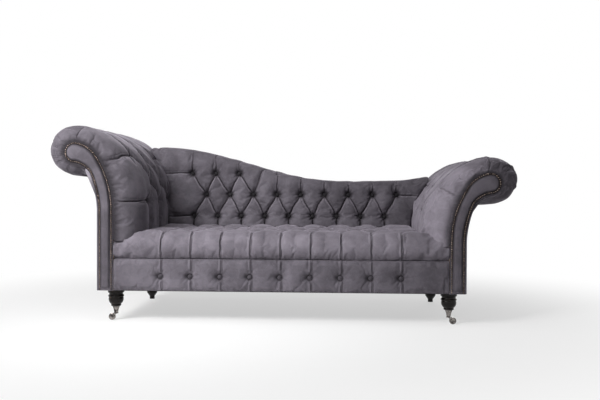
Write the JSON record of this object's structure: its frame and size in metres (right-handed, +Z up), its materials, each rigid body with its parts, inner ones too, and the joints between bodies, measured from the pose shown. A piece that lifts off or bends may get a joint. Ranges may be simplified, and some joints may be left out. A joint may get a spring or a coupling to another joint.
{
  "type": "chesterfield sofa",
  "caption": "Deep-buttoned velvet sofa with scroll arms of unequal height, a swept back, nailed front facings and turned legs, the front ones on swivel casters.",
  "frame": {"origin": "on the floor, in the middle of the width and of the depth", "axes": "+X to the right as seen from the front, towards the lower arm, +Y to the back, +Z up"},
  "size_m": [2.314, 0.862, 0.971],
  "materials": {
    "velvet": "matte",
    "button_velvet": "matte",
    "facing_velvet": "matte",
    "outside_velvet": "matte",
    "dust_cloth": "matte",
    "hessian": "matte",
    "webbing": "matte",
    "nail_bronze": "satin",
    "leg_wood": "gloss",
    "frame_wood": "matte",
    "caster_nickel": "polished",
    "spring_steel": "satin"
  },
  "bodies": {
    "sofa": {"seat_pad": "velvet", "front_border": "velvet", "back_pad": "velvet", "left_arm_pad": "velvet", "right_arm_pad": "velvet", "seat_buttons": "button_velvet", "border_buttons": "button_velvet", "back_buttons": "button_velvet", "left_arm_buttons": "button_velvet", "right_arm_buttons": "button_velvet", "left_arm_facing": "facing_velvet", "right_arm_facing": "facing_velvet", "left_outside_arm": "outside_velvet", "right_outside_arm": "outside_velvet", "outside_back": "outside_velvet", "dust_cover": "dust_cloth", "seat_deck": "hessian", "back_webbing": "webbing", "left_arm_nails": "nail_bronze", "right_arm_nails": "nail_bronze", "front_left_leg": "leg_wood", "front_right_leg": "leg_wood", "rear_left_leg": "leg_wood", "rear_right_leg": "leg_wood", "front_rail": "frame_wood", "back_rail": "frame_wood", "left_side_rail": "frame_wood", "right_side_rail": "frame_wood", "cross_rails": "frame_wood", "corner_blocks": "frame_wood", "left_arm_front_board": "frame_wood", "right_arm_front_board": "frame_wood", "left_arm_rear_board": "frame_wood", "right_arm_rear_board": "frame_wood", "left_arm_rails": "frame_wood", "right_arm_rails": "frame_wood", "left_arm_lining": "frame_wood", "right_arm_lining": "frame_wood", "back_posts": "frame_wood", "back_top_rail": "frame_wood", "left_caster_cup": "caster_nickel", "right_caster_cup": "caster_nickel", "seat_springs": "spring_steel", "spring_clips": "spring_steel", "leg_bolts": "spring_steel"},
    "left_caster": {"left_caster_horn": "caster_nickel", "left_caster_axle": "caster_nickel"},
    "left_wheel": {"left_caster_wheel": "caster_nickel"},
    "right_caster": {"right_caster_horn": "caster_nickel", "right_caster_axle": "caster_nickel"},
    "right_wheel": {"right_caster_wheel": "caster_nickel"}
  },
  "joints": [
    {"name": "left_caster_swivel", "type": "hinge", "parent": "sofa", "child": "left_caster", "pos_m": [-0.826, -0.353, 0.04], "axis": [0, 0, 1], "continuous": true},
    {"name": "left_wheel_spin", "type": "hinge", "parent": "left_caster", "child": "left_wheel", "pos_m": [-0.846, -0.353, 0.017], "axis": [0, 1, 0], "continuous": true},
    {"name": "right_caster_swivel", "type": "hinge", "parent": "sofa", "child": "right_caster", "pos_m": [0.826, -0.353, 0.04], "axis": [0, 0, 1], "continuous": true},
    {"name": "right_wheel_spin", "type": "hinge", "parent": "right_caster", "child": "right_wheel", "pos_m": [0.846, -0.353, 0.017], "axis": [0, 1, 0], "continuous": true}
  ]
}
